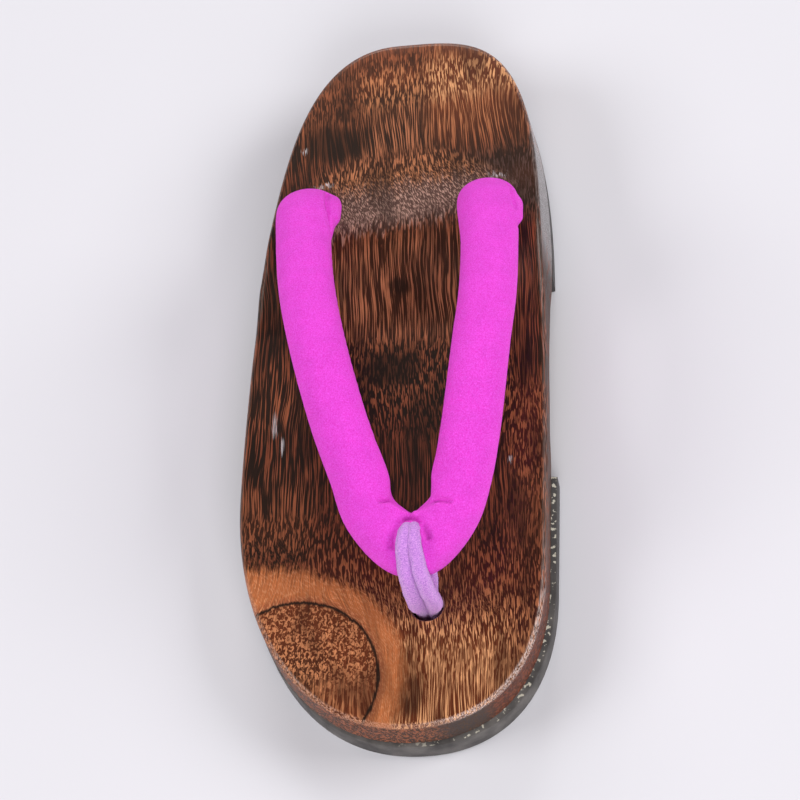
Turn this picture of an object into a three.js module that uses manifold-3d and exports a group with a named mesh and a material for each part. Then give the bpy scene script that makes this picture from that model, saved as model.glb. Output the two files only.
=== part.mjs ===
// A geta sandal for the right foot: a carved wooden base on two rubber pads, a padded cloth strap
// and a doubled cord toe loop. Millimetres, +Z up, toe towards -Y, heel towards +Y, and the big toe's
// side towards +X. The origin is on the floor, under the middle of the sandal.
import * as THREE from 'three';
import { mergeVertices } from 'three/addons/utils/BufferGeometryUtils.js';
import Module from 'manifold-3d';

const wasm = await Module();
wasm.setup();

// Levels above the floor
const SEAT = 9;               // flat underside of the base, where the pads are glued
const ARCH_UNDER = 13;        // underside of the base in the arch
const FOREFOOT_TOP = 24;
const HEEL_TOP = 34;

// Places along the sandal
const RAMP_FOOT = 18;         // the top starts to rise to the heel here
const RAMP_HEAD = 56;
const ARCH_FRONT = -34;       // the underside leaves the seat here
const ARCH_BACK = 40;
const ARCH_SLOPE = 14;
const FOREFOOT_PAD_BACK = -36;
const HEEL_PAD_FRONT = 42;

// Edges and fits
const SHOULDER = 2.4;         // rounded top edge of the base
const CHAMFER = 1.6;          // broken lower edge of the base
const PAD_LIP = 1;            // the pads stand out round the base by this much
const PAD_EDGE = 0.8;         // broken lower edge of a pad
const GLUE = 0.3;             // between a pad and the base
const PAD_SHIFT = { heel: 0.4, forefoot: 0.9 };   // the pads sit this much towards the big toe
const PAD_BOW = 3;            // how far the straight end of a pad bows out
const LOOP_FIT = 0.3;         // between the toe loop and the cloth that it pinches

// Holes for the strap and the toe loop
const REAR_HOLE = { radius: 6.5, lateral: [-28, 61.5], medial: [34.6, 60.3] };
const FRONT_HOLE = { radius: 5.2, at: [10.7, -88.2] };

// Detail of the faceted surfaces
const STEPS_PER_BEND = 16;
const TOP_RINGS = 8;
const STRAP_SIDES = 20;
const STRAP_STEPS = 44;
const CORD_SIDES = 10;
const CORD_STEPS = 14;
const HOLE_SIDES = 24;

// The base seen from above: where its edge runs square to an axis, or bends, the heading of the
// edge in degrees from +X, and how far the curve keeps to that heading before and after the place.
const BASE_OUTLINE = [
  { at: 'heel end',      x: 2.5,   y: 131.2,  heading: 180, before: 29, after: 40 },
  { at: 'lateral waist', x: -47.4, y: 37,     heading: 255, before: 29, after: 10 },
  { at: 'lateral ball',  x: -53.6, y: -48.5,  heading: 270, before: 17, after: 43 },
  { at: 'toe end',       x: 10.5,  y: -131,   heading: 5,   before: 44, after: 25 },
  { at: 'medial ball',   x: 50.4,  y: -78,    heading: 88,  before: 31, after: 50 },
  { at: 'medial heel',   x: 52.6,  y: 47,     heading: 90,  before: 53, after: 87 },
];

// The strap's two arms, from the end in the rear hole to the point of the V. Each row is a section:
// the place of its middle, its width and thickness, the way its width points as an angle from +X
// seen from above, and how far that direction climbs, in degrees.
const LATERAL_ARM = [
  { at: 'end in hole', x: -28,   y: 61.5,  z: 16,   width: 10,   thick: 10,   across: 0,  climb: 0 },
  { at: 'below mouth', x: -28,   y: 61.5,  z: 26,   width: 10.5, thick: 10.5, across: 0,  climb: 0 },
  { at: 'mouth',       x: -28,   y: 61.5,  z: 34.6, width: 11.5, thick: 11.5, across: 0,  climb: 0 },
  { at: 'gather',      x: -28,   y: 60.2,  z: 39.5, width: 21.5, thick: 15,   across: 0,  climb: 0 },
  { at: 'elbow',       x: -27.8, y: 54.2,  z: 45.4, width: 23,   thick: 17,   across: 0,  climb: 0 },
  { at: 'rise',        x: -27.4, y: 37.3,  z: 52,   width: 21,   thick: 17.5, across: 2,  climb: 0 },
  { at: 'instep',      x: -25,   y: 15.3,  z: 57.5, width: 21,   thick: 17.5, across: 8,  climb: 0 },
  { at: 'crown',       x: -21.3, y: -4.5,  z: 59.5, width: 21,   thick: 17.5, across: 12, climb: 4 },
  { at: 'fall',        x: -17.2, y: -22.1, z: 58.5, width: 21,   thick: 17.5, across: 14, climb: 8 },
  { at: 'low fall',    x: -13,   y: -37.6, z: 55.5, width: 21,   thick: 17,   across: 17, climb: 12 },
  { at: 'neck',        x: -8.1,  y: -52.2, z: 51,   width: 21,   thick: 17,   across: 24, climb: 16 },
  { at: 'turn',        x: -4,    y: -64.4, z: 46.8, width: 21.5, thick: 16.5, across: 44, climb: 20 },
  { at: 'point',       x: 5.6,   y: -75.2, z: 43.2, width: 21.5, thick: 16,   across: 68, climb: 22 },
  { at: 'past point',  x: 13.5,  y: -77.2, z: 42,   width: 18,   thick: 14,   across: 92, climb: 22 },
];
const MEDIAL_ARM = [
  { at: 'end in hole', x: 34.6, y: 60.3,  z: 16,   width: 10,   thick: 10,   across: 0,   climb: 0 },
  { at: 'below mouth', x: 34.6, y: 60.3,  z: 26,   width: 10.5, thick: 10.5, across: 0,   climb: 0 },
  { at: 'mouth',       x: 34.6, y: 60.3,  z: 34.6, width: 11.5, thick: 11.5, across: 0,   climb: 0 },
  { at: 'gather',      x: 34.8, y: 58.9,  z: 39.5, width: 21.5, thick: 15,   across: 0,   climb: 0 },
  { at: 'elbow',       x: 35.6, y: 51.6,  z: 45.4, width: 23,   thick: 17,   across: 0,   climb: 0 },
  { at: 'rise',        x: 36.7, y: 32.6,  z: 52,   width: 21.5, thick: 17.5, across: -2,  climb: 0 },
  { at: 'instep',      x: 36.4, y: 10.2,  z: 57.5, width: 21.5, thick: 17.5, across: -4,  climb: 0 },
  { at: 'crown',       x: 34.4, y: -9,    z: 59.5, width: 21.5, thick: 17.5, across: -6,  climb: -4 },
  { at: 'fall',        x: 32.2, y: -25.8, z: 58.5, width: 21.5, thick: 17.5, across: -8,  climb: -8 },
  { at: 'low fall',    x: 29.7, y: -40.9, z: 55.5, width: 21.5, thick: 17,   across: -10, climb: -12 },
  { at: 'neck',        x: 26.4, y: -54.3, z: 51,   width: 21.5, thick: 17,   across: -20, climb: -16 },
  { at: 'turn',        x: 21.6, y: -66,   z: 46.6, width: 21.5, thick: 16.5, across: -44, climb: -20 },
  { at: 'point',       x: 12.2, y: -75.4, z: 43,   width: 21.5, thick: 16,   across: -68, climb: -22 },
  { at: 'past point',  x: 4.2,  y: -77.2, z: 42,   width: 18,   thick: 14,   across: -92, climb: -22 },
];

// The toe loop's cord, once up the front of the V and once down behind it, with its thickness and
// how far each of the two strands lies from the middle.
const LOOP_FRONT = [
  { at: 'end in hole', x: 10.7, y: -88.5, z: 11,   thick: 4.6, apart: 1.8 },
  { at: 'mouth',       x: 10.7, y: -88.7, z: 23,   thick: 4.8, apart: 1.9 },
  { at: 'swell',       x: 10.9, y: -89.8, z: 29,   thick: 5.8, apart: 2.9 },
  { at: 'front',       x: 10.2, y: -89.2, z: 36,   thick: 5.6, apart: 2.8 },
  { at: 'front turn',  x: 9.3,  y: -86.8, z: 43.4, thick: 5.4, apart: 2.6 },
  { at: 'over',        x: 8.9,  y: -82.2, z: 49.4, thick: 5.2, apart: 2.4 },
  { at: 'crest',       x: 9,    y: -77,   z: 52,   thick: 5,   apart: 2.2 },
  { at: 'past crest',  x: 9.1,  y: -73.6, z: 51,   thick: 5,   apart: 2 },
];
const LOOP_BACK = [
  { at: 'crest',       x: 9,    y: -77,   z: 52,   thick: 5,   apart: 2.2 },
  { at: 'past crest',  x: 9.1,  y: -73.6, z: 51,   thick: 5,   apart: 2 },
  { at: 'crotch',      x: 9.2,  y: -71.4, z: 46.6, thick: 5,   apart: 2 },
  { at: 'behind V',    x: 9.5,  y: -71.6, z: 41,   thick: 5,   apart: 2 },
  { at: 'under',       x: 9.9,  y: -75,   z: 35,   thick: 5,   apart: 2.2 },
  { at: 'forward',     x: 10.4, y: -81.6, z: 30.4, thick: 5,   apart: 2.4 },
  { at: 'mouth',       x: 10.7, y: -87,   z: 25,   thick: 4.6, apart: 1.8 },
  { at: 'end in hole', x: 10.7, y: -87.9, z: 11,   thick: 4.6, apart: 1.8 },
];

// 0 before the start, 1 after the end, and an S-curve between them.
function ease(value, start, end) {
  return THREE.MathUtils.smoothstep(value, start, end);
}

function topHeight(y) {
  return FOREFOOT_TOP + (HEEL_TOP - FOREFOOT_TOP) * ease(y, RAMP_FOOT, RAMP_HEAD);
}

function undersideHeight(y) {
  const leaves = ease(y, ARCH_FRONT, ARCH_FRONT + ARCH_SLOPE);
  const returns = 1 - ease(y, ARCH_BACK - ARCH_SLOPE, ARCH_BACK);
  return SEAT + (ARCH_UNDER - SEAT) * leaves * returns;
}

// The cubic curve from each place of the outline to the next one.
function outlineBends() {
  return BASE_OUTLINE.map((from, index) => {
    const to = BASE_OUTLINE[(index + 1) % BASE_OUTLINE.length];
    const start = new THREE.Vector2(from.x, from.y);
    const end = new THREE.Vector2(to.x, to.y);
    const leaving = THREE.MathUtils.degToRad(from.heading);
    const arriving = THREE.MathUtils.degToRad(to.heading);
    const first = new THREE.Vector2(Math.cos(leaving), Math.sin(leaving)).multiplyScalar(from.after);
    const second = new THREE.Vector2(Math.cos(arriving), Math.sin(arriving)).multiplyScalar(-to.before);
    return new THREE.CubicBezierCurve(start, start.clone().add(first), end.clone().add(second), end);
  });
}

// Points round the base, anticlockwise, moved outwards by a distance.
function outline(outwards) {
  const points = [];
  for (const bend of outlineBends()) {
    for (let step = 0; step < STEPS_PER_BEND; step += 1) {
      const share = step / STEPS_PER_BEND;
      const along = bend.getTangent(share);
      const point = bend.getPoint(share);
      points.push(new THREE.Vector2(point.x + along.y * outwards, point.y - along.x * outwards));
    }
  }
  return points;
}

// A closed skin over rings of equal length, listed from the bottom up or along a path, with the
// first and last ring filled.
function skin(rings) {
  const sides = rings[0].length;
  const positions = rings.flat().flatMap((point) => [point.x, point.y, point.z]);
  const triangles = [];
  for (let ring = 0; ring < rings.length - 1; ring += 1) {
    for (let side = 0; side < sides; side += 1) {
      const here = ring * sides + side;
      const beside = ring * sides + (side + 1) % sides;
      triangles.push(here, beside, beside + sides, here, beside + sides, here + sides);
    }
  }
  const last = (rings.length - 1) * sides;
  const fan = (ring, first, turned) => {
    const middle = positions.length / 3;
    const centre = ring.reduce((sum, point) => sum.add(point), new THREE.Vector3()).divideScalar(sides);
    positions.push(centre.x, centre.y, centre.z);
    for (let side = 0; side < sides; side += 1) {
      const here = first + side;
      const beside = first + (side + 1) % sides;
      triangles.push(...(turned ? [middle, beside, here] : [middle, here, beside]));
    }
  };
  fan(rings[0], 0, true);
  fan(rings[rings.length - 1], last, false);
  const geometry = new THREE.BufferGeometry();
  geometry.setAttribute('position', new THREE.Float32BufferAttribute(positions, 3));
  geometry.setIndex(triangles);
  return geometry;
}

// three.js geometry to a solid that can be cut or joined, and back.
function solidOf(geometry) {
  const bare = geometry.clone();
  bare.deleteAttribute('normal');
  bare.deleteAttribute('uv');
  const merged = mergeVertices(bare);
  return new wasm.Manifold(new wasm.Mesh({
    numProp: 3,
    vertProperties: new Float32Array(merged.attributes.position.array),
    triVerts: new Uint32Array(merged.index.array),
  }));
}

function geometryOf(solid) {
  const mesh = solid.getMesh();
  const geometry = new THREE.BufferGeometry();
  geometry.setAttribute('position', new THREE.BufferAttribute(mesh.vertProperties, 3));
  geometry.setIndex(new THREE.BufferAttribute(mesh.triVerts, 1));
  return geometry;
}

function uprightHole([x, y], radius) {
  const height = HEEL_TOP * 2;
  const drill = new THREE.CylinderGeometry(radius, radius, height, HOLE_SIDES);
  drill.rotateX(Math.PI / 2);
  drill.translate(x, y, HEEL_TOP / 2);
  return solidOf(drill);
}

// Sections along a smooth path through the rows of a table. The table gives each section's middle,
// width, thickness and the direction of its width; the section stands square to the path.
function sweep(rows, { sides, steps, shift = 0, grow = 0 }) {
  const path = new THREE.CatmullRomCurve3(rows.map((row) => new THREE.Vector3(row.x, row.y, row.z)));
  const size = new THREE.CatmullRomCurve3(rows.map((row) => (
    new THREE.Vector3(row.width ?? row.thick, row.thick, row.apart ?? 0))));
  const turn = new THREE.CatmullRomCurve3(rows.map((row) => (
    new THREE.Vector3(row.across ?? 0, row.climb ?? 0, 0))));
  const rings = [];
  for (let step = 0; step <= steps; step += 1) {
    const share = step / steps;
    const along = path.getTangent(share);
    const { x: width, y: thick, z: apart } = size.getPoint(share);
    const angles = turn.getPoint(share).multiplyScalar(Math.PI / 180);
    const across = new THREE.Vector3(
      Math.cos(angles.x) * Math.cos(angles.y),
      Math.sin(angles.x) * Math.cos(angles.y),
      Math.sin(angles.y),
    );
    across.addScaledVector(along, -across.dot(along)).normalize();
    const outwards = new THREE.Vector3().crossVectors(along, across);
    const middle = path.getPoint(share).addScaledVector(across, shift * apart);
    rings.push(Array.from({ length: sides }, (_, side) => {
      const angle = (2 * Math.PI * side) / sides;
      return middle.clone()
        .addScaledVector(across, (width / 2 + grow) * Math.cos(angle))
        .addScaledVector(outwards, (thick / 2 + grow) * Math.sin(angle));
    }));
  }
  return skin(rings);
}

// The wooden base: a flat seat with an arch in the underside, straight sides, a rounded shoulder
// and a top that rises to the heel, drilled for the strap and the loop.
function woodenBase() {
  const level = (points, height) => points.map((point) => (
    new THREE.Vector3(point.x, point.y, height(point.y))));
  const shrunk = (points, share) => points.map((point) => point.clone().multiplyScalar(share));
  const inner = Array.from({ length: TOP_RINGS - 1 }, (_, ring) => (ring + 1) / TOP_RINGS);
  const rings = [];
  for (const share of inner) {
    rings.push(level(shrunk(outline(-CHAMFER), share), undersideHeight));
  }
  rings.push(level(outline(-CHAMFER), undersideHeight));
  rings.push(level(outline(0), (y) => undersideHeight(y) + CHAMFER));
  for (const turned of [0, 30, 60, 90].map(THREE.MathUtils.degToRad)) {
    const inset = SHOULDER * (1 - Math.cos(turned));
    const drop = SHOULDER * (1 - Math.sin(turned));
    rings.push(level(outline(-inset), (y) => topHeight(y) - drop));
  }
  for (const share of inner.reverse()) {
    rings.push(level(shrunk(outline(-SHOULDER), share), topHeight));
  }
  return geometryOf(solidOf(skin(rings))
    .subtract(uprightHole(REAR_HOLE.lateral, REAR_HOLE.radius))
    .subtract(uprightHole(REAR_HOLE.medial, REAR_HOLE.radius))
    .subtract(uprightHole(FRONT_HOLE.at, FRONT_HOLE.radius)));
}

// A rubber pad: the part of the outline on one side of a slightly bowed line across the sandal.
// towards is 1 for the heel and -1 for the forefoot.
function rubberPad(line, towards, shift) {
  const edge = outline(PAD_LIP).map((point) => new THREE.Vector2(point.x + shift, point.y));
  const kept = edge.filter((point) => (point.y - line) * towards > 0);
  const reach = kept.map((point, index) => point.distanceTo(kept.at(index - 1)));
  const start = reach.indexOf(Math.max(...reach));
  const rim = [...kept.slice(start), ...kept.slice(0, start)];
  const [first, last] = [rim[0], rim[rim.length - 1]];
  const bow = new THREE.QuadraticBezierCurve(
    new THREE.Vector2(last.x, line),
    new THREE.Vector2((first.x + last.x) / 2, line - towards * PAD_BOW * 2),
    new THREE.Vector2(first.x, line),
  ).getPoints(STEPS_PER_BEND);
  const shape = [...rim, ...bow];
  const middle = shape.reduce((sum, point) => sum.add(point), new THREE.Vector2())
    .divideScalar(shape.length);
  const ring = (inset, z) => shape.map((point) => {
    const spoke = point.clone().sub(middle);
    const moved = spoke.multiplyScalar(1 - inset / spoke.length()).add(middle);
    return new THREE.Vector3(moved.x, moved.y, z);
  });
  return skin([ring(PAD_EDGE, 0), ring(0, PAD_EDGE), ring(0, SEAT - GLUE)]);
}

// The toe loop: two strands side by side, each joined to itself in the front hole, grown on every
// side by a distance.
function toeLoop(grow) {
  const strands = [-1, 1].flatMap((shift) => [LOOP_FRONT, LOOP_BACK].map((rows) => (
    solidOf(sweep(rows, { sides: CORD_SIDES, steps: CORD_STEPS, shift, grow })))));
  return strands.reduce((joined, strand) => joined.add(strand));
}

// The strap: both arms joined where they meet at the point of the V, with the groove that the toe
// loop pinches into it.
function strap() {
  const detail = { sides: STRAP_SIDES, steps: STRAP_STEPS };
  const arms = [LATERAL_ARM, MEDIAL_ARM].map((rows) => solidOf(sweep(rows, detail)));
  return geometryOf(arms[0].add(arms[1]).subtract(toeLoop(LOOP_FIT)));
}

const WOOD = { color: 0x5f3319, roughness: 0.42, metalness: 0 };
const RUBBER = { color: 0x2a2b2c, roughness: 0.85, metalness: 0 };
const MAGENTA_CLOTH = { color: 0xeb4bde, roughness: 0.9, metalness: 0 };
const LILAC_CORD = { color: 0xb48ae4, roughness: 0.95, metalness: 0 };

const sandal = new THREE.Group();
function place(name, geometry, look) {
  const mesh = new THREE.Mesh(geometry, new THREE.MeshStandardMaterial(look));
  mesh.name = name;
  sandal.add(mesh);
}

place('wooden_base', woodenBase(), WOOD);
place('heel_pad', rubberPad(HEEL_PAD_FRONT, 1, PAD_SHIFT.heel), RUBBER);
place('forefoot_pad', rubberPad(FOREFOOT_PAD_BACK, -1, PAD_SHIFT.forefoot), RUBBER);
place('strap', strap(), MAGENTA_CLOTH);
place('toe_loop', geometryOf(toeLoop(0)), LILAC_CORD);

export default sandal;
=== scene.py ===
import bpy
import numpy as np
from mathutils import Matrix


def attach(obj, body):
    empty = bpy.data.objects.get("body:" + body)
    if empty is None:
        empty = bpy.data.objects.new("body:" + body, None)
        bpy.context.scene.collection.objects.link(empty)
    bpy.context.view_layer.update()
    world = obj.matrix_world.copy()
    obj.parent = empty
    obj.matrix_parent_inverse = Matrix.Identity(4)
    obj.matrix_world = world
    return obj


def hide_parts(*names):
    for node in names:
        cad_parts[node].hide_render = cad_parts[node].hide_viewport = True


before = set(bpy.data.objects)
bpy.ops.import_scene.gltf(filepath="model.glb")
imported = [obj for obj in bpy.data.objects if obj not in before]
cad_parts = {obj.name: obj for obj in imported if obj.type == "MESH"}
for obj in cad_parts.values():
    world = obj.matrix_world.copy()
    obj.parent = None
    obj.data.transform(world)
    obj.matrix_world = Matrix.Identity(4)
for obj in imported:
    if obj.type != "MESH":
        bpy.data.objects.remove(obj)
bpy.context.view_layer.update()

# The camera stands about a metre from the sandal, in front of the toe and high over it, a little
# to the big toe's side, and looks at its middle with the heel at the top of the picture.
EYE = np.array([0.14003, -0.51481, 0.93733])
AIM = np.array([0.0011, -0.0081, 0.020])
LENS = 138.2
back = (EYE - AIM) / np.linalg.norm(EYE - AIM)
right = np.cross([0, 1, 0], back)
right /= np.linalg.norm(right)
above = np.cross(back, right)
camera = bpy.data.objects.new("camera", bpy.data.cameras.new("camera"))
camera.data.lens = LENS
camera.data.clip_start = 0.05
camera.data.clip_end = 20
camera.matrix_world = Matrix([[right[i], above[i], back[i], EYE[i]] for i in range(3)] + [[0, 0, 0, 1]])
bpy.context.scene.collection.objects.link(camera)
bpy.context.scene.camera = camera
bpy.context.scene.view_settings.view_transform = "Standard"


# A plain pale floor and soft studio light: a wide lamp on each of four sides and a pale room.
FLOOR_REACH = 3.0
ROOM_LIGHT = 0.18


def tone(red, green, blue):
    """A screen colour, 0 to 255, as the linear colour that a material takes."""
    screen = np.array([red, green, blue]) / 255
    linear = np.where(screen > 0.04045, ((screen + 0.055) / 1.055) ** 2.4, screen / 12.92)
    return (*linear.tolist(), 1.0)


def put(tree, kind, joins=None, **settings):
    """Adds a node of one kind with its settings. Each input in joins takes a number, a colour or
    another node's output. Gives the node's outputs."""
    made = tree.nodes.new("ShaderNode" + kind)
    for name, value in settings.items():
        setattr(made, name, value)
    for name, value in (joins or {}).items():
        if isinstance(value, bpy.types.NodeSocket):
            tree.links.new(value, made.inputs[name])
        else:
            made.inputs[name].default_value = value
    return made.outputs


def finish_named(name):
    """A new material with its node tree and the sockets of its main shader."""
    material = bpy.data.materials.new(name)
    material.use_nodes = True
    return material, material.node_tree, material.node_tree.nodes["Principled BSDF"].inputs


def shaped(name, points, faces, material, smooth=True):
    """An object at the origin from points in metres and faces, with its material."""
    mesh = bpy.data.meshes.new(name)
    mesh.from_pydata(points.tolist(), [], faces)
    mesh.update()
    if smooth:
        mesh.shade_smooth()
    mesh.materials.append(material)
    made = bpy.data.objects.new(name, mesh)
    bpy.context.scene.collection.objects.link(made)
    return made


def lamp(name, place, size, power):
    """A square lamp of a size in metres that faces the sandal from its place."""
    light = bpy.data.lights.new(name, "AREA")
    light.size = size
    light.energy = power
    made = bpy.data.objects.new(name, light)
    facing = np.array(place) / np.linalg.norm(place)
    side = np.cross([0, 1, 0], facing)
    side /= np.linalg.norm(side)
    over = np.cross(facing, side)
    made.matrix_world = Matrix([[side[i], over[i], facing[i], place[i]] for i in range(3)] + [[0, 0, 0, 1]])
    bpy.context.scene.collection.objects.link(made)


floor_paint, floor_tree, floor_shader = finish_named("pale_floor")
floor_shader["Base Color"].default_value = tone(216, 214, 219)
floor_shader["Roughness"].default_value = 0.9
corners = np.array([[-1, -1, 0], [1, -1, 0], [1, 1, 0], [-1, 1, 0]]) * FLOOR_REACH
floor = shaped("floor", corners, [[0, 1, 2, 3]], floor_paint, smooth=False)
lamp("lamp_toe", (0.5, -2.3, 1.7), 1.5, 50)
lamp("lamp_heel", (-0.3, 2.5, 1.3), 1.3, 36)
lamp("lamp_big_toe_side", (2.1, 0.3, 1.5), 1.3, 38)
lamp("lamp_little_toe_side", (-2.1, -0.3, 1.7), 1.3, 34)
room = bpy.data.worlds.new("room")
room.use_nodes = True
room.node_tree.nodes["Background"].inputs["Color"].default_value = tone(240, 238, 246)
room.node_tree.nodes["Background"].inputs["Strength"].default_value = ROOM_LIGHT
bpy.context.scene.world = room


# The wooden base is one block of light wood, carved to the foot's outline with a raised heel and an
# arch below, rounded at the top edge and drilled three times. It is scorched until the grain stands
# out, brushed along the grain and lacquered.
MM = 0.001
SEAT = 9.0
ARCH_UNDER = 13.0
FOREFOOT_TOP = 24.0
HEEL_TOP = 34.0
SHOULDER = 2.4
CHAMFER = 1.6
HEEL_LEAN = 1.3
HOLE_FLARE = 0.7
# Places along the base, the toe below nothing: where the top climbs, where the arch opens and
# closes, and where the bevel under the edge fades out towards the heel.
RAMP = (18, 56)
ARCH_OPENS = (-34, -20)
ARCH_CLOSES = (26, 40)
BEVEL_FADES = (40, 0)
BASE_OUTLINE = np.array([
    # x, y, heading in degrees, how far the curve keeps to it before and after
    [2.5, 131.2, 180, 29, 40],
    [-47.4, 37, 255, 29, 10],
    [-53.6, -48.5, 270, 17, 43],
    [10.5, -131, 5, 44, 25],
    [50.4, -78, 88, 31, 50],
    [52.6, 47, 90, 53, 87],
])
HOLES = [(-28, 61.5, 6.5, 34.0), (34.6, 60.3, 6.5, 34.0), (10.7, -88.2, 5.2, 24.0)]


def ease(value, start, end):
    """0 before start, 1 after end, and three times the square less twice the cube between them."""
    share = np.clip((value - start) / (end - start), 0, 1)
    return share * share * (3 - 2 * share)


def top_height(y):
    """The forefoot's level, then the S-curve up to the heel's level."""
    return FOREFOOT_TOP + (HEEL_TOP - FOREFOOT_TOP) * ease(y, *RAMP)


def underside_height(y):
    """The seat's level, raised to the arch's level between the two S-curves."""
    return SEAT + (ARCH_UNDER - SEAT) * ease(y, *ARCH_OPENS) * (1 - ease(y, *ARCH_CLOSES))


def base_edge(outwards, steps=56):
    """Points round the base, anticlockwise. Each bend is a cubic curve, its four control points
    weighted by the terms of (1 - t + t) cubed, and each point is moved square to it by outwards."""
    t = (np.arange(steps) / steps)[:, None]
    points = []
    for start, end in zip(BASE_OUTLINE, np.roll(BASE_OUTLINE, -1, axis=0)):
        leaving, arriving = np.radians(start[2]), np.radians(end[2])
        first = start[:2] + start[4] * np.array([np.cos(leaving), np.sin(leaving)])
        second = end[:2] - end[3] * np.array([np.cos(arriving), np.sin(arriving)])
        curve = ((1 - t) ** 3 * start[:2] + 3 * t * (1 - t) ** 2 * first
                 + 3 * t * t * (1 - t) * second + t ** 3 * end[:2])
        along = ((1 - t) ** 2 * (first - start[:2]) + 2 * t * (1 - t) * (second - first)
                 + t * t * (end[:2] - second))
        along /= np.linalg.norm(along, axis=1, keepdims=True)
        points.append(curve + outwards * np.stack([along[:, 1], -along[:, 0]], axis=1))
    return np.concatenate(points)


def skin(rings, counted=0):
    """The points and faces of a closed skin over rings of equal length, with a point in the middle
    of the first and of the last ring. Faces number the points from those already counted."""
    rings = np.asarray(rings, float)
    count, sides = rings.shape[:2]
    points = np.concatenate([rings.reshape(-1, 3), rings[0].mean(0)[None], rings[-1].mean(0)[None]])
    here = np.arange(sides)
    beside = (here + 1) % sides
    low = (np.arange(count - 1) * sides)[:, None]
    walls = np.stack([low + here, low + beside, low + beside + sides, low + here + sides], axis=2)
    start, end = count * sides, count * sides + 1
    first = np.stack([np.full(sides, start), beside, here], axis=1)
    last = np.stack([np.full(sides, end), here + sides * (count - 1), beside + sides * (count - 1)], axis=1)
    parts = walls.reshape(-1, 4), first, last
    return points, sum([(part + counted).tolist() for part in parts], [])


def lifted(line, height):
    """A line of points seen from above, each at the height that belongs to its y."""
    return np.column_stack([line, height(line[:, 1])])


def leaning(edge, amount):
    """The edge with its heel half moved outwards from the middle line by an S-curve along it."""
    lean = amount * ease(edge[:, 1], 0, 55) * np.clip(edge[:, 0] / 40, 0, 1)
    return edge + np.stack([lean, lean * 0], axis=1)


def base_rings():
    """Rings from the middle of the underside out to the chamfer, up the wall, which leans out on
    the big toe's side of the heel, over the shoulder, a quarter circle, and in to the middle of the
    top. Inner rings are the outline times a share."""
    shares = np.linspace(0.02, 1, 42)
    under = [lifted(base_edge(-CHAMFER) * share, underside_height) for share in shares]
    wall = [lifted(leaning(base_edge(0), HEEL_LEAN * (1 - up)),
                   lambda y, up=up: (underside_height(y) + CHAMFER * ease(y, *BEVEL_FADES)) * (1 - up)
                   + (top_height(y) - SHOULDER) * up) for up in np.linspace(0, 1, 5)]
    shoulder = [lifted(base_edge(-SHOULDER * (1 - np.cos(turned))),
                       lambda y, turned=turned: top_height(y) - SHOULDER * (1 - np.sin(turned)))
                for turned in np.linspace(0, np.pi / 2, 8)[1:]]
    over = [lifted(base_edge(-SHOULDER) * share, top_height) for share in shares[::-1][1:]]
    return under + wall + shoulder + over


def drill(x, y, radius, level, sides=64):
    """A round cutter, upright at x and y, that flares by an exponential where it leaves the wood."""
    heights = np.concatenate([[-5, level - 6], level + np.linspace(-2.5, 0.6, 9)])
    turn = 2 * np.pi * np.arange(sides) / sides
    wide = radius + HOLE_FLARE * np.exp((heights - level) / HOLE_FLARE)
    wide[:2] = radius
    return [np.column_stack([x + r * np.cos(turn), y + r * np.sin(turn), np.full(sides, z)])
            for r, z in zip(wide, heights)]


def made_solid(obj):
    """Applies the modifiers of an object to its mesh."""
    deps = bpy.context.evaluated_depsgraph_get()
    obj.update_tag()
    bpy.context.view_layer.update()
    made = bpy.data.meshes.new_from_object(obj.evaluated_get(deps))
    obj.modifiers.clear()
    obj.data = made


def in_mm(tree):
    """Where each point of the surface is on its object, in millimetres."""
    place = put(tree, "TexCoord")["Object"]
    return put(tree, "VectorMath", {0: place, "Scale": 1 / MM}, operation="SCALE")[0]


def spread(tree, value, start, end, low=0.0, high=1.0, **settings):
    """A straight rise from low to high as the value goes from start to end."""
    return put(tree, "MapRange", {"Value": value, "From Min": start, "From Max": end, "To Min": low,
                                  "To Max": high}, **settings)[0]


def mixed(tree, share, first, second, way="MIX"):
    """The first colour where the share is 0, the second where it is 1."""
    return put(tree, "Mix", {0: share, 6: first, 7: second}, data_type="RGBA", blend_type=way)[2]


def bumped(tree, height, strength, distance):
    """The way that the surface faces where a height of 1 stands up by the distance, in metres."""
    return put(tree, "Bump", {"Height": height, "Strength": strength, "Distance": distance})[0]


WOOD_TONES = {
    "char": tone(15, 8, 5),
    "soot brown": tone(30, 15, 9),
    "dark brown": tone(50, 24, 13),
    "maroon": tone(56, 19, 12),
    "chestnut": tone(92, 42, 21),
    # The two sheen tones are painted reflection: the lacquer's greyish sheen on the slope of the ramp.
    "painted mauve sheen": tone(78, 55, 49),
    "russet": tone(122, 60, 38),
    "copper": tone(150, 84, 54),
    "amber": tone(176, 108, 74),
    "tan": tone(192, 124, 82),
    "straw": tone(226, 162, 112),
    "orange": tone(174, 100, 58),
    "painted grey tan sheen": tone(182, 144, 128),
}
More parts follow.
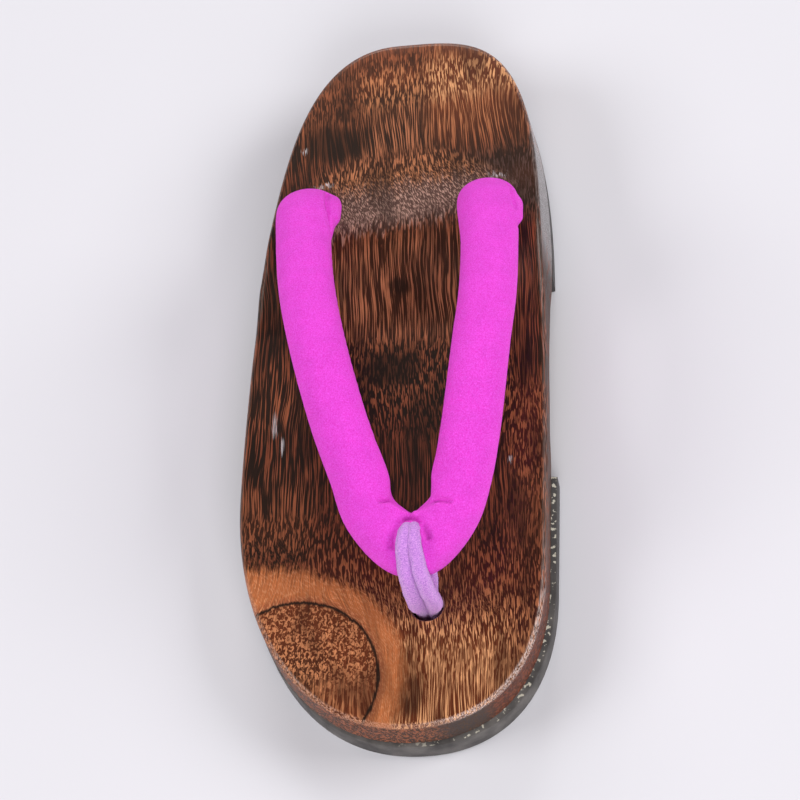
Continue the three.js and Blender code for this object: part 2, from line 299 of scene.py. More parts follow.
# Down each strip of the top: the place in millimetres from the middle, the tone of the ground and
# of the streaks, and how short the streaks are, from 0, long, to 1, specks.
STRIPS = {
    "little toe side": [
        (-131, "dark brown", "tan", 0.2), (-78, "orange", "tan", 0.9), (-74, "char", "russet", 0.7),
        (-68, "soot brown", "copper", 0.65), (-60, "dark brown", "copper", 0.6),
        (-54, "soot brown", "copper", 0.15), (-30, "char", "russet", 0.1),
        (-14, "soot brown", "copper", 0.1), (10, "char", "russet", 0.1), (50, "char", "russet", 0.2),
        (76, "soot brown", "russet", 0.3), (92, "soot brown", "copper", 0.1),
        (108, "dark brown", "copper", 0.4), (120, "dark brown", "copper", 0.35),
        (131, "chestnut", "copper", 0.3),
    ],
    "middle": [
        (-128, "chestnut", "straw", 0.1), (-112, "chestnut", "straw", 0.3),
        (-100, "chestnut", "straw", 0.4), (-88, "maroon", "tan", 0.7), (-76, "maroon", "copper", 0.6),
        (-60, "soot brown", "russet", 0.4), (-34, "char", "russet", 0.1), (-20, "char", "russet", 0.45),
        (-5, "char", "copper", 0.55), (10, "char", "copper", 0.6), (16, "dark brown", "amber", 0),
        # On the ramp, rows 57 and 66 carry painted sheen: the lacquer's reflection on the slope.
        (46, "dark brown", "amber", 0), (51, "dark brown", "copper", 0.3), (57, "painted mauve sheen", "painted grey tan sheen", 0.75),
        (66, "painted mauve sheen", "painted grey tan sheen", 0.9), (74, "dark brown", "tan", 0.75), (82, "dark brown", "amber", 0.4),
        (90, "soot brown", "amber", 0), (100, "dark brown", "amber", 0.1), (108, "dark brown", "tan", 0.5),
        (117, "chestnut", "tan", 0.6), (122, "dark brown", "copper", 0.4),
        (131, "chestnut", "copper", 0.35),
    ],
    "big toe side": [
        (-131, "chestnut", "straw", 0.15), (-96, "maroon", "tan", 0.4), (-78, "maroon", "copper", 0.6),
        (-60, "dark brown", "copper", 0.3), (-40, "dark brown", "copper", 0.4),
        (-32, "maroon", "copper", 0.6), (-8, "maroon", "copper", 0.65), (2, "soot brown", "russet", 0.1),
        # From 54 to 74 the streaks carry painted sheen on the ramp, as in the middle strip.
        (44, "soot brown", "russet", 0.1), (54, "soot brown", "painted mauve sheen", 0.6),
        (66, "dark brown", "painted mauve sheen", 0.7), (74, "soot brown", "painted mauve sheen", 0.5),
        (82, "dark brown", "copper", 0.15), (100, "chestnut", "tan", 0.15),
        (106, "chestnut", "straw", 0.4), (117, "chestnut", "straw", 0.55), (122, "chestnut", "tan", 0.3),
        (131, "chestnut", "copper", 0.3),
    ],
}
# The same round the knot, by the distance from its middle.
KNOT = [
    (0, "dark brown", "tan", 0.3), (18, "chestnut", "tan", 0.3), (26.7, "chestnut", "tan", 0.3),
    (27.3, "soot brown", "soot brown", 0.9), (27.8, "soot brown", "soot brown", 0.9),
    (28.4, "copper", "tan", 0.9), (31, "orange", "tan", 0.95), (40, "orange", "tan", 0.9),
]
KNOT_AT = (-33.0, -112.0)
KNOT_RADIUS = 27.5
# The streaks part round the knot as round a post: its radius squared, and the least squared distance
# that counts.
POST_SQUARED = 300.0
NEAREST_SQUARED = 760.0
# How far the tables reach, from the middle of the base and from the middle of the knot.
HALF_LENGTH = 132
KNOT_REACH = 42
# How far a streak strays sideways, and how far the ragged ends of the bands run into each other.
SWAY = 14.0
TEETH = 18.0
# How closely each kind of mark lies across the grain, along it and down through the wood.
LONG_STREAKS = (2.1, 0.05, 1.2)
DASHES = (1.9, 0.23, 1.4)
SPECKS = (2.3, 0.6, 1.9)
KNOT_SPECKS = (1.15, 0.75, 1.1)
FIBRES = (4.6, 0.1, 3.4)
CLOUDS = (0.075, 0.022, 0.06)
RAGGED = (1.2, 0.13, 0.6)
TOP_COAT = 0.22
# Places charred blacker than the rest, and the last two, painted shade round the rear holes just behind the
# strap's elbows: the middle, half the width and half the length.
BURNT_AND_SHADED = [(-20, 90, 13, 9), (2, 33, 4.5, 3), (5, -120, 5, 9), (-2, 2, 12, 8), (-27, 62, 10, 11),
         (35.5, 61, 10, 11)]
# Worn places where the lacquer is scraped pale; the last two are painted glints on the hole rims just
# behind the strap's elbows.
SCRAPED_AND_GLINTS = [(-41.5, -17, 0.9, 4.5), (-38.8, -25, 0.6, 3), (39.6, -36, 0.7, 1.4), (-31, 88, 1.2, 1.0),
           (-24, 72.5, 3.5, 0.9), (38, 71.5, 3.2, 0.9)]


def scorched_wood():
    """Streaks are stretched noise on the place in millimetres, so that they run through the block.
    They flow round the knot as water does round a post: the place across the grain is multiplied by
    one less the square of the post's radius over the distance. Bands change along the wood by the
    tables above, at edges that the streaks make ragged."""
    material, tree, shader = finish_named("scorched_wood")

    def calc(work, first, second=0.0, third=0.0):
        """One step of arithmetic on numbers or outputs."""
        return put(tree, "Math", {0: first, 1: second, 2: third}, operation=work)[0]

    def plus(first, second):
        """The sum."""
        return calc("ADD", first, second)

    def less(first, second):
        """The first less the second."""
        return calc("SUBTRACT", first, second)

    def times(first, second):
        """The product."""
        return calc("MULTIPLY", first, second)

    def over(first, second):
        """The first divided by the second."""
        return calc("DIVIDE", first, second)

    def fade(value, start, end, low=0.0, high=1.0):
        """An S-curve from low to high as the value goes from start to end."""
        return spread(tree, value, start, end, low, high, interpolation_type="SMOOTHSTEP")

    def mix(share, first, second, way="MIX"):
        """One colour over another in this material."""
        return mixed(tree, share, first, second, way)

    def noise(place, stretch, detail=2.0, rough=0.5, bend=0.0):
        """Cloudy noise on a place whose three parts are each multiplied by the stretch."""
        scaled = put(tree, "VectorMath", {0: place, 1: stretch}, operation="MULTIPLY")[0]
        return put(tree, "TexNoise", {"Vector": scaled, "Scale": 1.0, "Detail": detail,
                                      "Roughness": rough, "Distortion": bend})[0]

    def ramp(value, stops):
        """A colour by a value from 0 to 1, in straight steps between the stops."""
        outputs = put(tree, "ValToRGB", {0: value})
        line = outputs[0].node.color_ramp
        for index, (place, colour) in enumerate(stops):
            stop = line.elements[index] if index < 2 else line.elements.new(place)
            stop.position = place
            stop.color = colour
        return outputs[0]

    def along(rows, value, start, end):
        """The ground, the streaks' colour and their kind at a value, from one table's rows."""
        scaled = over(less(value, start), end - start)
        places = [(row[0] - start) / (end - start) for row in rows]
        grounds = ramp(scaled, [(place, WOOD_TONES[row[1]]) for place, row in zip(places, rows)])
        streaks = ramp(scaled, [(place, WOOD_TONES[row[2]]) for place, row in zip(places, rows)])
        kinds = ramp(scaled, [(place, (row[3], row[3], row[3], 1)) for place, row in zip(places, rows)])
        return grounds, streaks, kinds

    place = in_mm(tree)
    x, y, z = put(tree, "SeparateXYZ", {0: place})[:3]
    sway = times(less(noise(place, (0.03, 0.011, 0.03)), 0.5), SWAY)
    from_knot_x = less(x, KNOT_AT[0])
    from_knot_y = less(y, KNOT_AT[1])
    squared = plus(times(from_knot_x, from_knot_x), times(from_knot_y, from_knot_y))
    distance = calc("SQRT", squared)
    post = less(1.0, over(POST_SQUARED, calc("MAXIMUM", squared, NEAREST_SQUARED)))
    across = plus(times(from_knot_x, post), sway)
    below_top = less(z, fade(y, *RAMP, FOREFOOT_TOP, HEEL_TOP))
    flow = put(tree, "CombineXYZ", {0: across, 1: y, 2: below_top})[0]

    ragged = noise(flow, RAGGED, 3.0, 0.6)
    teeth = times(less(ragged, 0.5), TEETH)
    level = plus(plus(y, times(x, fade(y, 25, 50, 0.1, -0.12))), teeth)
    left = along(STRIPS["little toe side"], level, -HALF_LENGTH, HALF_LENGTH)
    middle = along(STRIPS["middle"], level, -HALF_LENGTH, HALF_LENGTH)
    right_side = along(STRIPS["big toe side"], level, -HALF_LENGTH, HALF_LENGTH)
    knot = along(KNOT, plus(distance, times(teeth, 0.12)), 0, KNOT_REACH)
    heel_middle = less(x, fade(y, 70, 95, 0.0, 20.0))
    to_middle = fade(plus(heel_middle, times(sway, 1.5)), -35, -23)
    heel_side = plus(x, fade(y, 66, 92, 0.0, 24.0))
    to_right = fade(plus(heel_side, times(sway, 1.2)), 34, 44)
    in_knot = fade(plus(distance, times(teeth, 0.5)), 39, 34.5)
    ground, streak, kind = [
        mix(in_knot, mix(to_right, mix(to_middle, a, b), c), d)
        for a, b, c, d in zip(left, middle, right_side, knot)
    ]

    long_streaks = fade(noise(flow, LONG_STREAKS, 2.0, 0.5), 0.505, 0.575)
    dashes = fade(noise(flow, DASHES, 1.5, 0.5, 0.25), 0.505, 0.57)
    slanted = put(tree, "VectorRotate", {"Vector": flow, "Angle": -0.5}, rotation_type="Z_AXIS")[0]
    specks = fade(noise(slanted, SPECKS, 1.5, 0.5, 0.2), 0.50, 0.61)
    knot_specks = fade(noise(place, KNOT_SPECKS, 1.5, 0.5, 0.9), 0.47, 0.585)
    first_half = mix(fade(kind, 0.15, 0.5), long_streaks, dashes)
    by_kind = mix(fade(kind, 0.55, 0.9), first_half, specks)
    knot_share = times(fade(distance, KNOT_RADIUS + 1, KNOT_RADIUS - 1), fade(level, -122, -110))
    streaks = mix(knot_share, by_kind, knot_specks)
    fibres = noise(flow, FIBRES, 2.0, 0.6)
    across_top = plus(x, times(less(fibres, 0.5), 3.0))
    level_fine = plus(y, times(teeth, 0.5))

    def patches(rows):
        """1 inside the oval of any row and 0 outside, by the square root of two squares' sum."""
        found = 0.0
        for at_x, at_y, half_width, half_length in rows:
            wide = over(less(across_top, at_x), half_width)
            tall = over(less(level_fine, at_y), half_length)
            away = calc("SQRT", plus(times(wide, wide), times(tall, tall)))
            found = calc("MAXIMUM", found, fade(away, 1.35, 0.35))
        return found

    clouds = fade(noise(flow, CLOUDS, 2.0, 0.5), 0.50, 0.64)
    # Char lies in cloudy patches and in the listed patches; round the rear holes those patches are painted
    # shade.
    burnt_and_shaded = calc("MAXIMUM", times(clouds, 0.55), patches(BURNT_AND_SHADED))
    shade = times(fade(fibres, 0.3, 0.7, 0.6, 1.3), fade(burnt_and_shaded, 0, 1, 1.0, 0.42))
    strength = times(streaks, fade(burnt_and_shaded, 0, 1, 0.84, 0.35))
    lit = mix(1.0, mix(strength, ground, streak), shade, "MULTIPLY")
    # Pale scrapes in the lacquer, and painted glints behind the strap's elbows.
    scratches_and_glints = times(patches(SCRAPED_AND_GLINTS), fade(fibres, 0.45, 0.6))
    top_colour = mix(scratches_and_glints, lit, tone(205, 200, 200))

    normal_z = put(tree, "SeparateXYZ", {0: put(tree, "NewGeometry")["Normal"]})[2]
    bare = mix(fade(fibres, 0.35, 0.65), tone(112, 84, 54), tone(150, 120, 82))
    below = times(fade(normal_z, -0.5, -0.85), fade(noise(place, (0.2, 0.05, 0.2)), 0.3, 0.45))
    # Along the toe's shoulder: worn lacquer, pinkish tan on the little toe side, turning to near-white
    # painted glints towards the big toe side.
    over_edge = times(fade(normal_z, 0.97, 0.8), fade(normal_z, 0.0, 0.35))
    rubbed_and_glinting = times(over_edge, times(fade(y, -60, -105, 0.12, 0.6), fade(fibres, 0.44, 0.6)))
    at_toe_wall = times(fade(normal_z, 0.45, 0.15), fade(y, -60, -85))
    redder = fade(x, 24, 34)
    end_grain = mix(knot_specks, mix(redder, WOOD_TONES["soot brown"], WOOD_TONES["maroon"]),
                    mix(redder, WOOD_TONES["copper"], WOOD_TONES["russet"]))
    # The smooth dark grey patch on the toe wall is char with a painted grey reflection of the lacquer.
    toe_wall_with_sheen = mix(times(fade(x, 8, 20), fade(x, 33, 28)), end_grain, tone(44, 39, 38))
    walled = mix(times(at_toe_wall, 0.9), top_colour, toe_wall_with_sheen)
    rubbed_and_glint_tone = mix(fade(x, 5, 28), tone(205, 158, 136), tone(242, 224, 218))
    tree.links.new(mix(below, mix(rubbed_and_glinting, walled, rubbed_and_glint_tone), bare), shader["Base Color"])

    relief = plus(times(streaks, 0.6), times(fibres, 0.5))
    tree.links.new(bumped(tree, relief, 0.5, 0.00009), shader["Normal"])
    tree.links.new(fade(streaks, 0, 1, 0.42, 0.6), shader["Roughness"])
    shader["Specular IOR Level"].default_value = 0.3
    shader["Specular Tint"].default_value = (1.0, 0.6, 0.42, 1.0)
    wall_coat = times(fade(y, 36, 52, 0.03, 1.0), fade(fibres, 0.25, 0.6, 0.55, 1.0))
    more_coat = less(wall_coat, TOP_COAT)
    coat = calc("MULTIPLY_ADD", fade(normal_z, 0.6, 0.2), more_coat, TOP_COAT)
    tree.links.new(coat, shader["Coat Weight"])
    shader["Coat Roughness"].default_value = 0.2
    tree.links.new(bumped(tree, relief, 0.4, 0.00006), shader["Coat Normal"])
    return material


wood = scorched_wood()
points, faces = skin(base_rings())
base = shaped("wooden_base_carved", points * MM, faces, wood)
cutters = []
for x, y, radius, level in HOLES:
    points, faces = skin(drill(x, y, radius, level))
    cutters.append(shaped("cutter", points * MM, faces, wood))
for cutter in cutters:
    cut = base.modifiers.new("hole", "BOOLEAN")
    cut.object = cutter
    cut.operation = "DIFFERENCE"
    cut.solver = "EXACT"
made_solid(base)
base.data.set_sharp_from_angle(angle=np.radians(38))
for cutter in cutters:
    bpy.data.objects.remove(cutter)
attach(base, "root")
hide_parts("wooden_base")


# Two rubber pads are glued under the heel and the forefoot. They stand out a millimetre round the
# wood, have straight moulded sides, and a tread of small diamonds underneath.
GLUE = 0.3
PAD_LIP = 1.0
PAD_EDGE = 0.8
PAD_BOW = 3.0
TREAD = 3.3
PADS = [
    # node, the y of its inner edge, the way from there to its end, its shift to the big toe's side
    ("heel_pad", 42, 1, 0.4),
    ("forefoot_pad", -36, -1, 0.9),
]


def pad_rings(line, towards, shift):
    """Rings of the outline on one side of a line, closed by a shallow parabola, pulled in towards
    the pad's middle for the broken lower edge."""
    edge = base_edge(PAD_LIP) + [shift, 0]
    kept = np.flatnonzero((edge[:, 1] - line) * towards > 0)
    start = np.argmax(np.diff(kept, prepend=kept[-1] - len(edge)))
    rim = edge[np.roll(kept, -start)]
    t = np.linspace(0, 1, 40)[:, None]
    first, last = np.array([rim[0][0], line]), np.array([rim[-1][0], line])
    peak = np.array([(first[0] + last[0]) / 2, line - towards * PAD_BOW * 2])
    bow = (1 - t) ** 2 * last + 2 * t * (1 - t) * peak + t * t * first
    shape = np.concatenate([rim, bow])
    middle = shape.mean(0)
    spokes = shape - middle
    reach = np.linalg.norm(spokes, axis=1, keepdims=True)

    def ring(inset, z):
        return np.column_stack([spokes * (1 - inset / reach) + middle, np.full(len(shape), z)])

    share = np.linspace(0.05, 1, 12)[:-1]
    flat = [ring(PAD_EDGE + reach * (1 - s), 0) for s in share]
    side = [ring(PAD_EDGE, 0), ring(PAD_EDGE * 0.4, PAD_EDGE * 0.25), ring(0, PAD_EDGE),
            ring(0, SEAT - GLUE - 0.4), ring(0.12, SEAT - GLUE - 0.12), ring(0.4, SEAT - GLUE)]
    return flat + side


def moulded_rubber():
    """Dark rubber with a fine matt skin, and beads of cream glue squeezed out along its top edge.
    The tread is two sets of slanting ridges, a distance to and fro across the slant, seen only on
    the faces that look down."""
    material, tree, shader = finish_named("moulded_rubber")
    place = in_mm(tree)
    x, y, z = put(tree, "SeparateXYZ", {0: place})[:3]
    normal_z = put(tree, "SeparateXYZ", {0: put(tree, "NewGeometry")["Normal"]})[2]

    def times(first, second):
        """The product."""
        return put(tree, "Math", {0: first, 1: second}, operation="MULTIPLY")[0]

    def noise(scale, detail):
        """Cloudy noise at a scale per millimetre."""
        return put(tree, "TexNoise", {"Vector": place, "Scale": scale, "Detail": detail})[0]

    ridges = []
    for slant in (1.0, -1.0):
        across = put(tree, "Math", {0: x, 1: slant, 2: y}, operation="MULTIPLY_ADD")[0]
        ridges.append(put(tree, "Math", {0: across, 1: TREAD / 2}, operation="PINGPONG")[0])
    diamond = put(tree, "Math", {0: ridges[0], 1: ridges[1]}, operation="MINIMUM")[0]
    tread = times(spread(tree, diamond, 0.25, 0.6), spread(tree, normal_z, -0.7, -0.9))
    height = put(tree, "Math", {0: noise(2.2, 4.0), 1: 0.12, 2: tread}, operation="MULTIPLY_ADD")[0]
    tree.links.new(bumped(tree, height, 1.0, 0.0006), shader["Normal"])
    # Dust lies in cloudy patches, made stronger towards the toe as painted light, so that the pads' flanks
    # further back stay darker as painted shade.
    dust_and_toe_light = times(spread(tree, noise(0.12, 5.0), 0.35, 0.7), spread(tree, y, -70, -115, 0.2))
    dusty_and_lit = mixed(tree, dust_and_toe_light, tone(58, 54, 53), tone(106, 101, 98))
    beads = spread(tree, noise(0.6, 3.0), 0.58, 0.61)
    at_joint = times(spread(tree, z, 8.66, 8.69), spread(tree, x, -5.0, 15.0))
    glued = mixed(tree, times(beads, at_joint), dusty_and_lit, tone(192, 186, 170))
    tree.links.new(glued, shader["Base Color"])
    shader["Roughness"].default_value = 0.62
    return material


rubber = moulded_rubber()
for node, line, towards, shift in PADS:
    points, faces = skin(pad_rings(line, towards, shift))
    pad = shaped(node + "_moulded", points * MM, faces, rubber)
    pad.data.set_sharp_from_angle(angle=np.radians(40))
    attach(pad, "root")
    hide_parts(node)


# The strap is one padded tube of crinkled cloth with the seam turned inwards. Both ends are drawn
# down into the rear holes, and the cord loop pinches its middle into the point of the V.
LATERAL_ARM = [
    # x, y, z, width, thickness, way of the width in degrees from +X, its climb
    [-28, 61.5, 16, 10, 10, 0, 0], [-28, 61.5, 26, 10.5, 10.5, 0, 0], [-28, 61.5, 34.6, 11.5, 11.5, 0, 0],
    [-28, 60.2, 39.5, 21.5, 15, 0, 0], [-27.8, 54.2, 45.4, 23, 17, 0, 0], [-27.4, 37.3, 52, 21, 17.5, 2, 0],
    [-25, 15.3, 57.5, 21, 17.5, 8, 0], [-21.3, -4.5, 59.5, 21, 17.5, 12, 4],
    [-17.2, -22.1, 58.5, 21, 17.5, 14, 8], [-13, -37.6, 55.5, 21, 17, 17, 12],
    [-8.1, -52.2, 51, 21, 17, 24, 16], [-4, -64.4, 46.8, 21.5, 16.5, 44, 20],
    [5.6, -75.2, 43.2, 21.5, 16, 68, 22], [13.5, -77.2, 42, 18, 14, 92, 22],
]
MEDIAL_ARM = [
    [34.6, 60.3, 16, 10, 10, 0, 0], [34.6, 60.3, 26, 10.5, 10.5, 0, 0],
    [34.6, 60.3, 34.6, 11.5, 11.5, 0, 0], [34.8, 58.9, 39.5, 21.5, 15, 0, 0],
    [35.6, 51.6, 45.4, 23, 17, 0, 0], [36.7, 32.6, 52, 21.5, 17.5, -2, 0],
    [36.4, 10.2, 57.5, 21.5, 17.5, -4, 0], [34.4, -9, 59.5, 21.5, 17.5, -6, -4],
    [32.2, -25.8, 58.5, 21.5, 17.5, -8, -8], [29.7, -40.9, 55.5, 21.5, 17, -10, -12],
    [26.4, -54.3, 51, 21.5, 17, -20, -16], [21.6, -66, 46.6, 21.5, 16.5, -44, -20],
    [12.2, -75.4, 43, 21.5, 16, -68, -22], [4.2, -77.2, 42, 18, 14, -92, -22],
]
# How much smaller the tube starts all round, how far the cloth may swell from there, and the size
# of the cells of its skin.
SLACK = 0.7
SWELL_AT_MOST = 1.1
VOXEL = 1.15


def through(rows, shares):
    """A smooth curve through the rows. Each stretch is a cubic whose slopes at its ends come from
    its neighbours, with steps as long as the square root of the distance between rows."""
    rows = np.asarray(rows, float)
    padded_rows = np.concatenate([[2 * rows[0] - rows[1]], rows, [2 * rows[-1] - rows[-2]]])
    place = np.clip(shares, 0, 1) * (len(rows) - 1)
    index = np.minimum(place.astype(int), len(rows) - 2)
    t = (place - index)[:, None]
    before, here, there, after = (padded_rows[index + k] for k in range(4))
    reach = [np.sqrt(np.linalg.norm(b - a, axis=1, keepdims=True))
             for a, b in ((before, here), (here, there), (there, after))]
    middle = np.where(reach[1] < 1e-4, 1.0, reach[1])
    first = np.where(reach[0] < 1e-4, middle, reach[0])
    last = np.where(reach[2] < 1e-4, middle, reach[2])
    leave = ((here - before) / first - (there - before) / (first + middle)
             + (there - here) / middle) * middle
    arrive = ((there - here) / middle - (after - here) / (middle + last)
              + (after - there) / last) * middle
    return (here + leave * t + (3 * (there - here) - 2 * leave - arrive) * t ** 2
            + (2 * (here - there) + leave + arrive) * t ** 3)


def sections(rows, shares):
    """The middle, the width's way, the way square to it, and the half sizes at each share of a
    swept piece. The section stands square to the path."""
    rows = np.asarray(rows, float)
    middle = through(rows[:, :3], shares)
    small = 1e-4
    along = (through(rows[:, :3], np.minimum(shares + small, 1))
             - through(rows[:, :3], np.maximum(shares - small, 0)))
    along /= np.linalg.norm(along, axis=1, keepdims=True)
    half = through(rows[:, 3:5], shares) / 2
    turned, climb = np.radians(through(rows[:, 5:7], shares)).T
    level = np.cos(climb)
    across = np.stack([np.cos(turned) * level, np.sin(turned) * level, np.sin(climb)], axis=1)
    across -= along * (across * along).sum(1, keepdims=True)
    across /= np.linalg.norm(across, axis=1, keepdims=True)
    return middle, across, np.cross(along, across), half


def arm_rings(rows, steps=150, sides=48, pull=0.0):
    """An ellipse carried along the arm, with both half sizes less the pull."""
    middle, across, outwards, half = sections(rows, np.linspace(0, 1, steps))
    turn = 2 * np.pi * np.arange(sides) / sides
    return (middle[:, None] + across[:, None] * (np.cos(turn)[:, None] * (half[:, None, :1] - pull))
            + outwards[:, None] * (np.sin(turn)[:, None] * (half[:, None, 1:] - pull)))


def crinkled_cloth():
    """Matt cloth with a close crinkle: small cells drawn out a little, painted darker in the hollows as
    painted shade, over a faint cloudy change of tone, with a soft sheen from its hairs."""
    material, tree, shader = finish_named("crinkled_cloth")
    place = in_mm(tree)
    drawn = put(tree, "VectorMath", {0: place, 1: (2.6, 1.9, 2.4)}, operation="MULTIPLY")[0]
    crinkle = put(tree, "TexNoise", {"Vector": drawn, "Scale": 1.0, "Detail": 3.0, "Roughness": 0.6,
                                     "Distortion": 0.4})[0]
    ridge = spread(tree, crinkle, 0.35, 0.65)
    tree.links.new(bumped(tree, ridge, 0.9, 0.0003), shader["Normal"])
    cloud = put(tree, "TexNoise", {"Vector": place, "Scale": 0.16, "Detail": 3.0})[0]
    cloudy = spread(tree, cloud, 0.3, 0.7, 0.96, 1.03)
    # The crinkle's hollows are darker and its ridges paler: painted shade and light following the bump.
    pink_shaded_in_hollows = mixed(tree, ridge, tone(242, 54, 214), tone(255, 92, 242))
    tree.links.new(mixed(tree, 1.0, pink_shaded_in_hollows, cloudy, "MULTIPLY"), shader["Base Color"])
    shader["Roughness"].default_value = 0.92
    shader["Specular IOR Level"].default_value = 0.15
    shader["Sheen Weight"].default_value = 0.08
    shader["Sheen Roughness"].default_value = 0.5
    return material


def points_of(mesh):
    """A mesh's points as an array."""
    flat = np.empty(len(mesh.vertices) * 3)
    mesh.vertices.foreach_get("co", flat)
    return flat.reshape(-1, 3)


def set_points(mesh, points):
    """Moves a mesh's points to the places in an array."""
    mesh.vertices.foreach_set("co", points.ravel())
    mesh.update()


def inflated(obj, pressure=4.0, frames=20):
    """Blows the cloth up from inside for a few frames, and keeps each point within the most that it
    may move from where it started."""
    scene = bpy.context.scene
    before = points_of(obj.data)
    cloth = obj.modifiers.new("cloth", "CLOTH")
    cloth.settings.use_pressure = True
    cloth.settings.uniform_pressure_force = pressure
    cloth.settings.effector_weights.gravity = 0
    cloth.settings.quality = 6
    cloth.point_cache.frame_start = 1
    cloth.point_cache.frame_end = frames
    for moment in range(1, frames + 1):
        scene.frame_set(moment)
    after = points_of(obj.evaluated_get(bpy.context.evaluated_depsgraph_get()).data)
    obj.modifiers.remove(cloth)
    scene.frame_set(1)
    moved = after - before
    far = np.linalg.norm(moved, axis=1, keepdims=True)
    moved *= np.minimum(1, SWELL_AT_MOST * MM / np.maximum(far, 1e-9))
    set_points(obj.data, before + moved)


def worked(points, outward, line, width, depth):
    """Presses a crease along a line of places, or lifts a fold where depth is below nothing: each
    point moves against its outward way by the depth times a bell of its distance to the line."""
    line = np.asarray(line, float)
    nearest = np.full(len(points), np.inf)
    for start, end in zip(line, line[1:]):
        span = end - start
        share = np.clip((points - start) @ span / (span @ span), 0, 1)
        nearest = np.minimum(nearest, np.linalg.norm(points - start - share[:, None] * span, axis=1))
    return points - outward * (depth * np.exp(-(nearest / width) ** 2))[:, None]


# The main folds: the line each runs along, its width and its depth.
FOLDS = [
    # the seam's pucker at the little toe side's elbow, a fold with a crease beside it
    ([(-17.0, 60.0, 43.0), (-16.4, 55.7, 45.0), (-16.6, 51.0, 46.8)], 2.8, -1.5),
    ([(-20.2, 61.8, 46.5), (-19.6, 57.0, 50.3), (-19.0, 51.9, 52.0), (-18.0, 44.8, 52.0),
      (-17.2, 36.7, 50.0)], 0.8, 1.9),
    # the same at the big toe side's elbow, on its outer side
    ([(46.4, 51.5, 44.6), (47.2, 48.3, 46.2), (47.0, 44.8, 48.2)], 3.0, -1.5),
    ([(43.4, 59.5, 46.5), (44.4, 56.5, 48.5), (45.2, 51.5, 50.5), (46.0, 46.5, 51.5)], 0.8, 1.3),
    ([(47.6, 41.5, 46.0), (46.4, 40.5, 50.5), (44.0, 40.0, 54.5)], 1.2, 0.9),
    # the arms narrow before the point of the V, then folds are drawn to the cord loop
    ([(5.6, -58.5, 48.5), (5.6, -61.5, 50.5)], 3.8, 2.0),
    ([(14.0, -59.0, 49.5), (13.6, -62.5, 51.0)], 3.8, 2.0),
    ([(2.8, -65.4, 53.4), (6.0, -66.4, 52.4), (9.0, -68.0, 51.0)], 1.9, -1.6),
    ([(0.2, -63.6, 54.6), (3.0, -62.9, 52.4), (5.6, -62.4, 49.5)], 0.9, 1.8),
    ([(12.6, -64.3, 51.0), (15.0, -64.8, 53.4), (18.6, -65.2, 55.0), (22.6, -66.0, 55.4)], 0.9, 2.2),
    ([(11.0, -68.2, 51.4), (14.2, -67.0, 54.0), (18.0, -67.4, 55.4)], 1.8, -1.3),
    ([(8.4, -69.0, 51.0), (5.6, -70.8, 52.8), (3.4, -74.8, 52.4), (2.8, -79.0, 50.0)], 1.1, 2.4),
    ([(10.2, -69.0, 50.5), (13.0, -71.4, 53.0), (14.8, -76.4, 50.6)], 1.1, 2.2),
]
# The seams turned inwards on each arm, and the small puckers that their stitches pull.
SEAMS = [
    [(-17.2, 40.0, 48.0), (-15.7, 25.1, 52.0), (-11.9, 1.6, 55.5), (-7.4, -19.1, 55.0),
     (-0.9, -41.7, 51.5)],
    [(26.4, 36.0, 48.5), (26.1, 12.0, 52.5), (24.6, -8.0, 55.0), (22.4, -28.3, 55.0),
     (19.0, -47.5, 52.0)],
]
STITCH = 3.4
SEAM_WIDTH = 2.6
SEAM_DEPTH = 0.35
STITCH_DEPTH = 0.3


def outward_ways(mesh):
    """The way outwards at each point of a mesh, as an array."""
    flat = np.empty(len(mesh.vertices) * 3)
    mesh.vertices.foreach_get("normal", flat)
    return flat.reshape(-1, 3)


def puckered(points, outward, seam):
    """Dents the cloth a little at every stitch along a seam: a wave along it times a bell of the
    distance to it."""
    seam = np.asarray(seam, float)
    dense = through(seam, np.linspace(0, 1, 200))
    run = np.concatenate([[0], np.cumsum(np.linalg.norm(np.diff(dense, axis=0), axis=1))])
    apart = np.linalg.norm(points[:, None] - dense[None, ::4], axis=2)
    nearest = apart.argmin(axis=1)
    wave = np.sin(2 * np.pi * run[::4][nearest] / STITCH + 0.9 * np.sin(run[::4][nearest] / 7.0))
    bell = np.exp(-(apart.min(axis=1) / SEAM_WIDTH) ** 2)
    return points - outward * (bell * (SEAM_DEPTH + STITCH_DEPTH * wave))[:, None]


lateral_points, lateral_faces = skin(arm_rings(LATERAL_ARM, pull=SLACK))
medial_points, medial_faces = skin(arm_rings(MEDIAL_ARM, pull=SLACK), counted=len(lateral_points))
both_arms = np.concatenate([lateral_points, medial_points]) * MM
strap = shaped("strap_padded", both_arms, lateral_faces + medial_faces, crinkled_cloth())
joined = strap.modifiers.new("one skin", "REMESH")
joined.mode = "VOXEL"
joined.voxel_size = VOXEL * MM
made_solid(strap)
inflated(strap)
fine = strap.modifiers.new("fine", "SUBSURF")
fine.levels = fine.render_levels = 1
made_solid(strap)
for seam in SEAMS:
    sewn = puckered(points_of(strap.data) / MM, outward_ways(strap.data), seam)
    set_points(strap.data, sewn * MM)
for line, width, depth in FOLDS:
    folded = worked(points_of(strap.data) / MM, outward_ways(strap.data), line, width, depth)
    set_points(strap.data, folded * MM)
strap.data.shade_smooth()
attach(strap, "root")
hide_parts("strap")


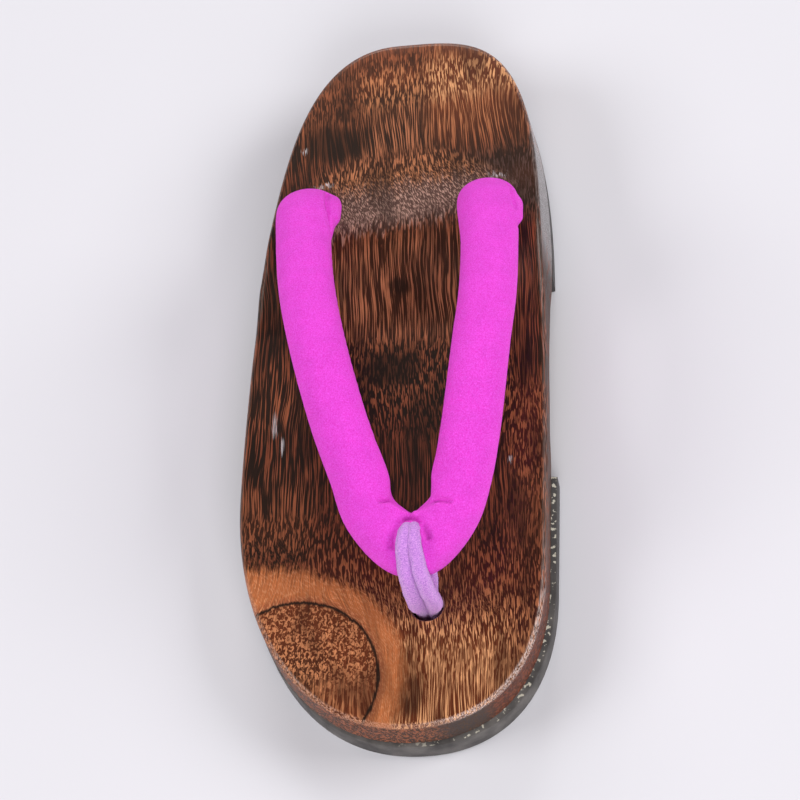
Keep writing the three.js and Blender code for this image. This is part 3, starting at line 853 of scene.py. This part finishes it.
# The toe loop is a soft napped cord, doubled, that comes up through the front hole, goes over the
# point of the V and back down behind it into the same hole.
LOOP_FRONT = [
    # x, y, z, thickness, distance of each strand from the middle
    [10.7, -88.5, 11, 4.6, 1.8], [10.7, -88.7, 23, 4.8, 1.9], [10.9, -89.8, 29, 5.8, 2.9],
    [10.2, -89.2, 36, 5.6, 2.7], [9.3, -86.8, 43.4, 5.4, 2.4], [8.7, -82.2, 49.4, 5.0, 2.1],
    [8.7, -77, 52, 4.7, 1.7], [9.0, -73.6, 51.2, 4.3, 1.2],
]
LOOP_BACK = [
    [9.2, -71.4, 46.6, 4.2, 1.1], [9.5, -71.6, 41, 4.6, 1.6], [9.9, -75, 35, 5, 2.2],
    [10.4, -81.6, 30.4, 5, 2.4], [10.7, -87, 25, 4.6, 1.8], [10.7, -87.9, 11, 4.6, 1.8],
]
NAP = 0.09


def strand_rings(side, steps=300, sides=40):
    """A round cord carried up the front, over and down behind, beside its twin. Its radius swells
    and shrinks by a few waves round and along it, so that its edge is soft and uneven."""
    rows = np.asarray(LOOP_FRONT + LOOP_BACK, float)
    shares = np.linspace(0, 1, steps)
    swept = np.column_stack([rows[:, :3], rows[:, 3], rows[:, 3], np.zeros((len(rows), 2))])
    middle, across, outwards, half = sections(swept, shares)
    apart = through(rows[:, 3:5], shares)[:, 1:]
    middle = middle + across * apart * side
    turn = 2 * np.pi * np.arange(sides) / sides
    run = 100 * shares[:, None]
    nap = (np.sin(3 * turn + 1.9 * run + side) * np.sin(5 * turn - 3.1 * run)
           + np.sin(7 * turn + 5.3 * run) * np.sin(11 * turn - 4.1 * run + side)
           + 0.8 * np.sin(turn + 0.7 * run))
    radius = half[:, :1] + NAP * nap
    return (middle[:, None] + across[:, None] * (np.cos(turn) * radius)[:, :, None]
            + outwards[:, None] * (np.sin(turn) * radius)[:, :, None])


def napped_cord():
    """Soft cord: a short nap as fine noise, with painted light on its tips and painted shade between them,
    and a strong sheen.
    """
    material, tree, shader = finish_named("napped_cord")
    nap = put(tree, "TexNoise", {"Vector": in_mm(tree), "Scale": 2.4, "Detail": 4.0, "Roughness": 0.65})[0]
    tips = spread(tree, nap, 0.35, 0.65)
    tree.links.new(bumped(tree, tips, 0.8, 0.0003), shader["Normal"])
    # Darker between the nap's tips and paler on them: painted shade and light following the bump.
    tree.links.new(mixed(tree, tips, tone(188, 114, 220), tone(244, 176, 255)), shader["Base Color"])
    shader["Roughness"].default_value = 0.95
    shader["Specular IOR Level"].default_value = 0.2
    shader["Sheen Weight"].default_value = 0.5
    shader["Sheen Roughness"].default_value = 0.4
    return material


first_points, first_faces = skin(strand_rings(-1))
second_points, second_faces = skin(strand_rings(1), counted=len(first_points))
both_strands = np.concatenate([first_points, second_points]) * MM
loop = shaped("toe_loop_napped", both_strands, first_faces + second_faces, napped_cord())
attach(loop, "root")
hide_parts("toe_loop")
